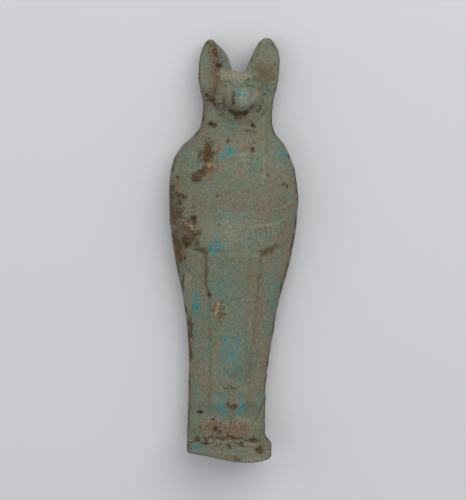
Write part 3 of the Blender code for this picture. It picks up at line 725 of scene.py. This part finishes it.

# %% [markdown]
# ## Where the soil, the glaze and the bare body are
# Nine masks are kept on the mesh's corners: soil, scattered dots of soil, straw, pale patches
# with painted light across the belly, darker patches with painted shade above the toes,
# stains with painted shade by the muzzle, mouth and collar, pale body with painted highlights
# on ridges, bright glaze, and the depth of hollows, painted dark and partly as shade. Masks on
# the mesh follow the carving, which a texture laid over it could not, and the shader then
# breaks their edges up with finer noise than the mesh can hold.

# %% Glaze that is left
GLAZE = (
    # head
    (-0.2, 139.5, 2.1, 2.5, 0.76), (-1, 140.9, 1.2, 1, 0.72), (1.8, 139.9, 1, 1.2, 0.72),
    (2.7, 137.5, 0.9, 1.2, 0.7), (0.9, 136.5, 1.1, 1, 0.7), (-0.6, 136.9, 0.8, 1.2, 0.66),
    (1.2, 134.8, 1.4, 0.9, 0.62), (8.5, 142.8, 1.9, 1.3, 0.7), (9.6, 141.2, 1.2, 2.1, 0.62),
    (-4.9, 142.9, 1.1, 0.9, 0.6), (-13.2, 152.6, 1, 3, 0.5), (-6.9, 154.4, 1.3, 2.4, 0.5),
    (9.8, 149.8, 1.6, 1.2, 0.5), (-4.2, 136.4, 1.2, 2.2, 0.35), (11.2, 138, 1.6, 3, 0.35),
    (-12.6, 142, 1.4, 2.4, 0.35),
    # throat and shoulders
    (-5.6, 115.9, 1.4, 1.6, 0.95), (-3.2, 118, 2.4, 2.8, 0.8), (-19.7, 116, 3.2, 3.2, 0.5),
    (17.4, 116.8, 1.8, 1.3, 0.9), (15.4, 119, 2.4, 3.6, 0.45), (6.9, 114, 2, 3.6, 0.48),
    (11.9, 120.6, 1.5, 1.1, 0.55), (19.9, 100.6, 1.4, 2.4, 0.6), (20.8, 95, 1.2, 2.4, 0.5),
    # chest
    (-6.7, 85.7, 1.5, 1.5, 1), (-7.5, 84, 1.2, 1.4, 0.8), (-9.1, 80.9, 1.3, 1.8, 0.85),
    (-7.6, 81.8, 3.4, 3.6, 0.54), (-5.8, 82, 1.7, 2, 0.8), (-3, 82.7, 1.4, 1.5, 0.95),
    (5.7, 84.3, 1.6, 1.4, 0.72), (2, 83.2, 1.1, 1.1, 0.55), (7.8, 84.4, 0.7, 2.2, 0.55),
    (10.1, 84.9, 0.8, 2.4, 0.5), (-0.6, 93.4, 8, 2.6, 0.52), (-1.6, 97.2, 0.8, 1.4, 0.65),
    # thighs and shins
    (-14, 62.5, 1, 2, 0.9), (-14.1, 57.7, 1.5, 2.2, 1), (-9.5, 59, 0.9, 2, 0.65), (-14, 60, 2.4, 5.4, 0.45),
    (-0.3, 73.5, 0.9, 1, 0.8), (-0.2, 76.4, 0.7, 0.9, 0.6), (15.6, 59, 0.8, 1, 0.95),
    (16.1, 67.2, 1.4, 1.6, 0.75), (-13.3, 74.2, 1.4, 1.1, 0.65), (-2, 67, 6.5, 9.5, 0.46),
    (2, 56, 5, 7, 0.38), (-0.5, 41, 7.5, 12, 0.5), (-2.8, 45.7, 1.3, 1, 0.8), (2.2, 46.6, 1.2, 1.1, 0.8),
    (0.1, 39.2, 1.8, 1.4, 0.8), (3.2, 35.4, 0.9, 1.8, 0.8), (-1.3, 33.2, 1.2, 1.8, 0.9),
    (-3.8, 41, 1.2, 1.1, 0.7), (4, 31, 1.4, 3.4, 0.5), (-13, 26, 2.4, 6, 0.42), (11, 22, 1.6, 7, 0.42),
    # feet and plinth
    (-4, 21.5, 3.4, 4.6, 0.42), (4.2, 21, 2.2, 4.6, 0.45), (-3.2, 18.6, 1.5, 1, 1),
    (5, 20.8, 1.2, 1.3, 0.9), (3.7, 22.7, 0.6, 0.6, 1), (-12.4, 4.4, 2.4, 1.8, 0.75),
    (0.2, 6.3, 1.6, 1, 0.55), (1.8, 4.2, 5.6, 1.8, 0.42),
)
GLAZE_LINES = (
    # line, width, strength
    (((-6, 25.6), (-4.9, 22.8), (-3.8, 20.4)), 1.1, 0.62),
    (((-3.8, 20.4), (-3, 18.8), (-1.4, 18.2)), 1.4, 0.95), (((3.5, 24.9), (4, 22.4)), 1.1, 0.8),
    (((4, 22.4), (4.3, 20.4)), 1.2, 0.6), (((3.9, 19.8), (3.4, 17.6)), 1.3, 1),
    (((5.6, 87), (5.5, 83.4)), 0.7, 0.55), (((7.9, 87.6), (7.8, 83.4)), 0.7, 0.62),
    (((10.2, 88), (10.1, 83.6)), 0.7, 0.6), (((12.7, 88.8), (12.5, 84.6)), 0.7, 0.55),
    (((-9.5, 45), (-9.3, 33)), 0.7, 0.55), (((-4.6, 70), (-4.2, 58)), 0.7, 0.5),
    (((4.6, 72), (4.9, 58)), 0.7, 0.5), (((-9.2, 82.4), (-8.9, 80.4), (-7.9, 78.6)), 1.1, 0.9),
    (((-14, 63.4), (-13.9, 60), (-14.2, 56.6)), 1.2, 0.6), (((-3, 46), (-2.6, 43)), 0.8, 0.6),
    (((0.6, 41), (0, 38)), 0.9, 0.7),
)


def glaze_cover(x, s):
    """How much of the glaze is left, in patches and along a few lines."""
    total = np.maximum(cover(x, s, GLAZE, 0.45, 1.3, 101), 0.45 * nose_patch(x, s))
    for line, width, strength in GLAZE_LINES:
        total = np.maximum(total, strength * strokes(*wavering(x, s, 0.6, 105), line, width) ** 0.5)
    return total


# %% Depth of the hollows, painted dark and partly as shade
EAR_EDGE = ((-14.9, 146), (-14.4, 143), (-12.9, 138.6))


def hollow_darkness_and_shade(x, s):
    """0 on the open surface and 1 deep in a pit, the mouth or a groove. These are painted dark brown: painted
    shade in the mouth, under the lip, beside the muzzle, along the face's left border and in the collar's
    hollows, and darker pits, grooves, joint and crack.
    """
    mottled = ramp(-0.5, 0.3, rough(x, s, 1.2, 121))
    dotted = mottled * ramp(-0.25, 0.25, rough(x, s, 0.6, 123))
    sunk = pits(x, s)
    x, s = wavering(x, s, 0.7)
    lines = (
        (0.4 + 0.7 * mottled, MOUTH, 1.4), (0.8 * mottled, LIP_LINE, 0.9), (0.9 * mottled, UNDER_LIP, 0.8),
        (0.9 * dotted, CHEEK_LINE, 1.3), (1.3 * dotted, FACE_BORDER, 1.8), (0.75, MUZZLE_SHADE, 1),
        (0.75 * mottled, HOLLOWS[0], 0.9), (0.15 + 0.4 * mottled, HOLLOWS[1], 1.9),
        (0.5 * mottled, EAR_EDGE, 0.7),
    )
    along = ramp(TOE_TOP + 3, TOE_TOP + 8, s) * ramp(COLLAR_FOOT + 1, COLLAR_FOOT - 1, s)
    grooves = 0.55 * strokes(x, s, LEG_GROOVES[0], 1) * groove_strength(s, 34)
    grooves = along * (grooves + 0.25 * strokes(x, s, LEG_GROOVES[1], 0.8) * groove_strength(s, 36))
    return clamp(np.maximum.reduce([
        1.4 * sunk, grooves, (0.45 + 0.5 * mottled) * joint_line(x, s, 0.5), 0.6 * crack_line(x, s, 0.55),
        0.8 * mound(x, s, (7.5, 133.9), (0.8, 1)), 0.7 * mound(x, s, (-1, 131.4), (1.8, 0.9)),
        *(strength * strokes(x, s, line, width) for strength, line, width in lines),
    ]))


# %% Pale, damp and dotted places
PALE = (
    (-1.2, 146.4, 7.6, 2.4, 1.1), (5.6, 138, 2.6, 3.8, 0.7), (-4.4, 137, 1.4, 2.6, 0.35),
    (1.8, 141.9, 1.6, 0.9, 0.8), (1.4, 116.9, 2.8, 0.6, 0.8), (2.2, 114.9, 2.6, 0.6, 0.8),
    (3, 112.8, 2.4, 0.7, 0.7), (9.8, 113, 0.8, 9, 0.7), (13.5, 90.6, 4.5, 0.9, 0.7),
    (7.5, 89.8, 3, 0.7, 0.5), (-1.5, 88.3, 6, 5.4, 0.6), (14.6, 88, 3.6, 2.6, 0.5), (-7.7, 104, 3, 4, 0.25),
    (3, 100, 7, 0.8, 0.35), (-9.8, 37, 0.9, 12, 0.4), (4.6, 60, 0.7, 18, 0.35), (6.7, 30.2, 0.9, 0.5, 1),
    (7, 1.2, 9, 1.1, 0.8), (2, 7.2, 13, 0.7, 0.6), (-13.5, 14, 1.6, 4, 0.3), (-17.6, 67.6, 2, 4.6, 0.9),
    (16.6, 50, 0.8, 6, 0.4), (-1.7, 134.5, 1, 1.1, 1), (0.3, 121, 6, 2, 0.3),
)
# Darker green patches. The wide band over the shins above the toes is painted shade, where the legs turn away
# from the light; the other patches darken the colour there.
SHADE_AND_DARKER_PATCHES = (
    (-1, 18.6, 15, 3.4, 0.9), (1, 24, 8, 3, 0.4), (6.5, 36.5, 3.6, 8, 0.6), (-10, 5, 5, 2.6, 0.5),
    (7.4, 146.5, 3.4, 3.4, 0.7), (1.4, 33, 4, 3.6, 0.7), (7, 19, 6, 3.6, 1.1),
)
# Pale chalky patches. The wide one across the belly is painted light, where the belly catches the light; the
# smaller ones make the colour paler.
LIGHT_AND_PALE_PATCHES = (
    (0, 87.6, 19, 8.6, 0.8), (-3.4, 141, 2.8, 4.4, 0.6), (-17.5, 60.5, 2.6, 4.4, 0.7),
    (-23.4, 108.6, 2.6, 3.6, 0.7),
)
# Painted highlights: pale strokes along the raised border of the collar's lowest bead row on the right, and
# along the right lappet's outer ridge
BELT_HIGHLIGHT = ((5, 89.4), (9.1, 89.9), (12.8, 90.5), (16.6, 91.6))
HOOD_HIGHLIGHT = ((9.4, 124), (9.3, 117), (8.9, 111))
SOIL_DOTS = (
    (-22.2, 95, 4.4, 11, 0.9), (-17.5, 87.5, 5, 5.5, 0.9), (-10.9, 118, 3.6, 6, 0.6),
    (-9.6, 150, 2.4, 7.5, 0.8), (-2, 12, 15, 4, 0.7), (0, 6.6, 15, 2.6, 0.8), (-11, 137.2, 3.4, 4, 1),
    (-20.5, 76, 2.6, 5, 0.7), (-5.6, 57.6, 3.4, 4, 0.8), (9.2, 141.6, 2.2, 2.4, 0.9),
    (-10.5, 156, 2.4, 5, 0.8), (-7.4, 134.6, 2.6, 3.4, 0.7), (-7, 83, 3, 3, 0.5),
)
STRAW_BIT = ((-18.6, 90.4), (-15.7, 88.4))

# %% Write the masks
on_front = ramp(0.55, 0.95, layer / LAYERS)
# The side walls get streaks of the soil's colour as well, strongest near the front
near_side = ramp(0.93, 0.99, abs(U)) * ramp(-0.30, 0.40, rough(X + 7 * layer / LAYERS, S, 2.2, 111))
near_side = near_side * (0.35 + 0.45 * ramp(0.35, 0.9, layer / LAYERS))
straw = np.maximum(cover(X, S, STRAW, 0.6, 1, 131), strokes(X, S, STRAW_BIT, 1.3))
# A pale ring is left round the large pit beside the left hollow
ring = ridge(np.hypot(X + 18.3, S - 81.9) - 1.5, 0.4) * ramp(-0.4, 0.1, noise(X, S, 2, 133))
ragged = wavering(X, S, 0.5)
masks = {
    "soil": np.maximum(crusts(X, S) * on_front, near_side),
    "dots": cover(X, S, SOIL_DOTS, 0.4, 3, 141) * on_front,
    "straw": clamp(straw + ring) * on_front,
    # Painted light across the belly, and smaller pale patches
    "light_and_pale_patches": cover(X, S, LIGHT_AND_PALE_PATCHES, 0.4, 2.4, 163) * on_front,
    # Painted shade above the toes, and darker green patches
    "shade_and_darker_patches": cover(X, S, SHADE_AND_DARKER_PATCHES, 0.5, 2, 161) * on_front,
    # Stains, with painted shade beside the muzzle, under the mouth, by the face's left border and in the
    # collar's hollows
    "stain_and_shade": cover(X, S, STAINS_AND_SHADE, 0.7, 2.6, 151) * on_front,
    # Pale worn body, with painted highlights along the brow folds, the collar's lowest border and the right
    # lappet's ridge
    "pale": np.maximum.reduce([
        cover(X, S, PALE, 0.7, 2, 155), 0.5 * strokes(*ragged, BROW_FOLDS, 0.8), 0.9 * nose_patch(X, S),
        0.8 * strokes(*ragged, BELT_HIGHLIGHT, 0.9), 0.5 * strokes(*ragged, HOOD_HIGHLIGHT, 0.8),
    ]) * on_front,
    "glaze": glaze_cover(X, S) * on_front,
    # Painted shade in the mouth, beside the muzzle, along the face's left border and in the collar's hollows,
    # and darker pits and grooves
    "hollow": hollow_darkness_and_shade(X, S) * on_front * (1 - 0.8 * clamp(straw)),
}
for name, values in masks.items():
    mesh.attributes.new(name, "FLOAT", "POINT").data.foreach_set("value", values.astype(np.float32))
    print(name, "covers", f"{values.mean():.0%}")


# %% [markdown]
# ## Faience as a material
# The body colour is never one colour: grey-green glaze worn thin, olive where the body shows
# through, pale quartz grains, and dark specks. Each of these is a noise at its own size. They
# go in a node group with named sockets, so another piece could use it with other colours.
# Stains, glaze, soil and straw are then laid over it as coats, each with its own mask, and so
# are painted light, painted highlights and painted shade.

# %% Node helpers
def new_group(name, inputs, outputs):
    """An empty shader group. inputs are (name, kind, default) and outputs (name, kind)."""
    group = bpy.data.node_groups.new(name, "ShaderNodeTree")
    for label, kind, default in inputs:
        socket = group.interface.new_socket(label, in_out="INPUT", socket_type=f"NodeSocket{kind}")
        if default is not None:
            socket.default_value = default
    for label, kind in outputs:
        group.interface.new_socket(label, in_out="OUTPUT", socket_type=f"NodeSocket{kind}")
    return group, group.nodes.new("NodeGroupInput").outputs, group.nodes.new("NodeGroupOutput").inputs


class Tree:
    """Short names for the nodes used here. A socket or a value can be given for any input."""

    def __init__(self, tree):
        self.tree = tree

    def feed(self, socket, value):
        if isinstance(value, bpy.types.NodeSocket):
            self.tree.links.new(value, socket)
        else:
            socket.default_value = value

    def node(self, kind, inputs):
        """A new node of that kind, with these inputs."""
        node = self.tree.nodes.new(f"ShaderNode{kind}")
        for label, value in inputs.items():
            self.feed(node.inputs[label], value)
        return node

    def noise(self, coordinate, scale, detail=3.0, roughness=0.6):
        inputs = {"Vector": coordinate, "Scale": scale, "Detail": detail, "Roughness": roughness}
        return self.node("TexNoise", inputs).outputs["Fac"]

    def span(self, value, low, high, to_low=0.0, to_high=1.0):
        inputs = {"Value": value, "From Min": low, "From Max": high, "To Min": to_low, "To Max": to_high}
        node = self.node("MapRange", inputs)
        node.interpolation_type = "SMOOTHSTEP"
        return node.outputs["Result"]

    def math(self, operation, a, b):
        node = self.node("Math", {0: a, 1: b})
        node.operation = operation
        return node.outputs["Value"]

    def blend(self, factor, a, b):
        node = self.node("Mix", {0: factor})
        node.data_type = "RGBA"
        self.feed(node.inputs[6], a)
        self.feed(node.inputs[7], b)
        return node.outputs[2]

    def bump(self, height, distance, strength, normal=None):
        node = self.node("Bump", {"Height": height, "Distance": distance, "Strength": strength})
        if normal is not None:
            self.feed(node.inputs["Normal"], normal)
        return node.outputs["Normal"]

    def stretched(self, coordinate, scale):
        return self.node("Mapping", {"Vector": coordinate, "Scale": scale}).outputs["Vector"]

    def attribute(self, name):
        node = self.node("Attribute", {})
        node.attribute_name = name
        return node.outputs["Fac"]


# %% Worn glaze: the colours of the open surface
MM = 1000.0  # MM / size is the scale of a noise whose grains are that many millimetres wide
SHADES = {
    "Warm": (0.184, 0.138, 0.090), "Green": (0.122, 0.150, 0.100), "Teal": (0.082, 0.190, 0.155),
    "Red": (0.220, 0.120, 0.072), "Pale": (0.310, 0.280, 0.180), "Dark": (0.040, 0.030, 0.017),
}
group, given, result = new_group(
    "Worn glaze",
    [("Coordinate", "Vector", None)] + [(name, "Color", (*shade, 1)) for name, shade in SHADES.items()],
    [("Color", "Color"), ("Grain", "Float")],
)
t = Tree(group)
where = t.stretched(given["Coordinate"], (1, 0.6, 1))
mottle = t.noise(where, MM / 2, 4, 0.75)
streaks = t.noise(t.stretched(given["Coordinate"], (1, 0.15, 1)), MM / 1.6, 3, 0.7)
broad = t.noise(where, MM / 9, 3, 0.6)
flecks = t.noise(where, MM / 0.8, 4, 0.8)
grains = t.noise(where, MM / 0.6, 4, 0.8)
colour = given["Warm"]
for texture, low, high, share, name in (
    (mottle, 0.36, 0.64, 1, "Green"),
    (streaks, 0.47, 0.33, 0.65, "Warm"),
    (streaks, 0.53, 0.67, 0.55, "Green"),
    (broad, 0.42, 0.66, 0.4, "Teal"),
    (broad, 0.50, 0.34, 0.4, "Warm"),
    (flecks, 0.51, 0.64, 0.75, "Teal"),
    (flecks, 0.48, 0.34, 0.6, "Red"),
    (grains, 0.53, 0.68, 0.75, "Pale"),
    (grains, 0.45, 0.29, 0.9, "Dark"),
):
    colour = t.blend(t.span(texture, low, high, 0, share), colour, given[name])
t.feed(result["Color"], colour)
t.feed(result["Grain"], t.math("ADD", t.math("MULTIPLY", grains, 0.6), t.math("MULTIPLY", mottle, 0.4)))
WORN_GLAZE = group

# %% Broken mask: a ragged, grainy edge for a soft mask, and scattered grains for a weak one
group, given, result = new_group(
    "Broken mask",
    [
        ("Coordinate", "Vector", None), ("Mask", "Float", 0),
        ("Grain Scale", "Float", MM), ("Raggedness", "Float", 1),
    ],
    [("Mask", "Float")],
)
t = Tree(group)
edge = t.noise(given["Coordinate"], given["Grain Scale"], 3, 0.7)
shifted = t.math("ADD", given["Mask"], t.math("MULTIPLY", t.math("SUBTRACT", edge, 0.5), given["Raggedness"]))
t.feed(result["Mask"], t.span(shifted, 0.40, 0.66))
BROKEN_MASK = group


# %% The faience material
def place_group(tree, group, **given):
    """The outputs of a new node that holds the group, with these inputs."""
    node = tree.node("Group", {})
    node.node_tree = group
    for name, value in given.items():
        tree.feed(node.inputs[name.replace("_", " ")], value)
    return node.outputs


material = bpy.data.materials.new("faience_worn")
material.use_nodes = True
t = Tree(material.node_tree)
shader = t.tree.nodes["Principled BSDF"]
where = t.node("TexCoord", {}).outputs["Object"]


def broken(mask, grain, raggedness):
    """The mask broken up by grains of that size in millimetres."""
    return place_group(
        t, BROKEN_MASK, Coordinate=where, Mask=mask, Grain_Scale=MM / grain, Raggedness=raggedness
    )["Mask"]


def grained(low, high, dark, light):
    """A colour that goes from dark to light where the fine noise goes from low to high."""
    return t.blend(t.span(fine, low, high), (*dark, 1), (*light, 1))


base = place_group(t, WORN_GLAZE, Coordinate=where)
fine = t.noise(where, MM / 0.7, 3, 0.7)
mask = {name: t.attribute(name) for name in masks}
stain_and_shade, pale = broken(mask["stain_and_shade"], 1.4, 1.4), broken(mask["pale"], 1, 1.4)
glaze, straw = broken(mask["glaze"], 0.9, 2), broken(mask["straw"], 0.8, 1.6)
soil, dots = broken(mask["soil"], 0.7, 3), broken(t.math("MULTIPLY", mask["dots"], 0.55), 0.9, 3)
soaked = t.span(mask["soil"], 0.15, 0.9)
light_and_pale_patches, shade_and_darker = t.span(mask["light_and_pale_patches"], 0, 1), t.span(mask["shade_and_darker_patches"], 0, 1)

# Brown of the stains, also the colour of the painted shade in the stain mask
brown = grained(0.38, 0.64, (0.100, 0.064, 0.034), (0.200, 0.133, 0.080))
beige = grained(0.38, 0.64, (0.190, 0.160, 0.100), (0.330, 0.290, 0.200))
teal = grained(0.38, 0.62, (0.040, 0.150, 0.142), (0.085, 0.230, 0.205))
pale_blue = grained(0.38, 0.62, (0.075, 0.185, 0.155), (0.240, 0.335, 0.270))
deep = grained(0.36, 0.64, (0.010, 0.095, 0.115), (0.028, 0.270, 0.300))
turquoise = t.blend(t.span(mask["glaze"], 0.55, 0.85), t.blend(pale, teal, pale_blue), deep)
# Pale colour of the painted light on the belly and of the smaller pale patches
light_and_pale_colour = grained(0.40, 0.62, (0.130, 0.160, 0.110), (0.370, 0.370, 0.280))
# The dark green is painted shade above the toes and the colour of the other darker patches
shade_and_darker_green, wet_earth = (0.045, 0.062, 0.046, 1), (0.150, 0.088, 0.036, 1)
earth = grained(0.40, 0.66, (0.026, 0.013, 0.005), (0.165, 0.092, 0.032))
chaff = grained(0.38, 0.66, (0.190, 0.110, 0.045), (0.500, 0.350, 0.180))
# Dark brown for the hollow mask: painted shade in the mouth and hollows, and darker pits and grooves
hollow_dark_and_shade_brown = grained(0.40, 0.66, (0.024, 0.013, 0.006), (0.115, 0.064, 0.028))
colour = base["Color"]
for coat, share, top in (
    (stain_and_shade, 0.75, brown), (pale, 0.65, beige), (glaze, 0.9, turquoise), (light_and_pale_patches, 0.38, light_and_pale_colour),
    (shade_and_darker, 0.38, shade_and_darker_green), (soaked, 0.55, wet_earth), (dots, 0.8, earth), (soil, 0.88, earth),
    (straw, 0.9, chaff), (mask["hollow"], 0.92, hollow_dark_and_shade_brown),
):
    colour = t.blend(t.math("MULTIPLY", coat, share), colour, top)
t.feed(shader.inputs["Base Color"], colour)
shader.inputs["Specular IOR Level"].default_value = 0.3
t.feed(shader.inputs["Roughness"], t.span(t.math("SUBTRACT", glaze, soil), 0, 1, 0.80, 0.45))
grain_normal = t.bump(base["Grain"], 0.0005, 1)
crumbs = t.math("MULTIPLY", t.math("MAXIMUM", soil, straw), fine)
t.feed(shader.inputs["Normal"], t.bump(crumbs, 0.0008, 0.9, grain_normal))
mesh.materials.append(material)
print(len(material.node_tree.nodes), "nodes in the material")

# %% [markdown]
# ## Floor, light and camera
# The figure lies on its back on a plain pale floor, and the camera looks down at it. A long
# lens is used, as for any record photograph, so that the feet and the ears are seen at one
# scale. A large soft key light stands beyond the right ear, and a weaker fill on the left.

# %% Floor
FLOOR_HALF, FLOOR_GREY, FLOOR_ROUGHNESS = 3.0, (0.565, 0.565, 0.58, 1), 0.9
floor_mesh = bpy.data.meshes.new("floor")
rim = [(x * FLOOR_HALF, y * FLOOR_HALF, 0) for x, y in ((-1, -1), (1, -1), (1, 1), (-1, 1))]
floor_mesh.from_pydata(rim, [], [(0, 1, 2, 3)])
floor = add_object("floor", floor_mesh)
paint = bpy.data.materials.new("floor_paint")
paint.use_nodes = True
coat = paint.node_tree.nodes["Principled BSDF"].inputs
coat["Base Color"].default_value, coat["Roughness"].default_value = FLOOR_GREY, FLOOR_ROUGHNESS
floor_mesh.materials.append(paint)

# %% Camera
LENS, DISTANCE = 180.0, 0.95
TILT, ROLL = math.radians(7.0), math.radians(1.66)
AIM = Vector((0.0003, -0.0004, 0.010))
camera = add_object("camera", bpy.data.cameras.new("camera"))
camera.data.lens = LENS
back = Vector((0.0, math.sin(TILT), math.cos(TILT)))
right = Vector((1.0, 0.0, 0.0))
turn = Matrix((right, back.cross(right), back)).transposed().to_4x4() @ Matrix.Rotation(ROLL, 4, "Z")
camera.matrix_world = Matrix.Translation(AIM + back * DISTANCE) @ turn
camera.data.clip_start = 0.01
bpy.context.scene.camera = camera


# %% Lights
def soft_light(name, location, size, power):
    """A square area light that faces the figure. Its size is in metres and its power in watts."""
    lamp = bpy.data.lights.new(name, "AREA")
    lamp.size, lamp.energy = size, power
    holder = add_object(name, lamp)
    holder.location = location
    holder.rotation_euler = Vector(location).to_track_quat("Z", "Y").to_euler()


soft_light("key", (0.3, 0.6, 0.76), 1.0, 7.7)
soft_light("fill", (-0.8, 0.1, 1.0), 1.2, 4.0)
SKY, SKY_STRENGTH = (0.95, 0.97, 1.0, 1), 0.52
world = bpy.data.worlds.new("studio")
world.use_nodes = True
sky = world.node_tree.nodes["Background"].inputs
sky["Color"].default_value, sky["Strength"].default_value = SKY, SKY_STRENGTH
bpy.context.scene.world = world
bpy.context.scene.view_settings.view_transform = "Standard"
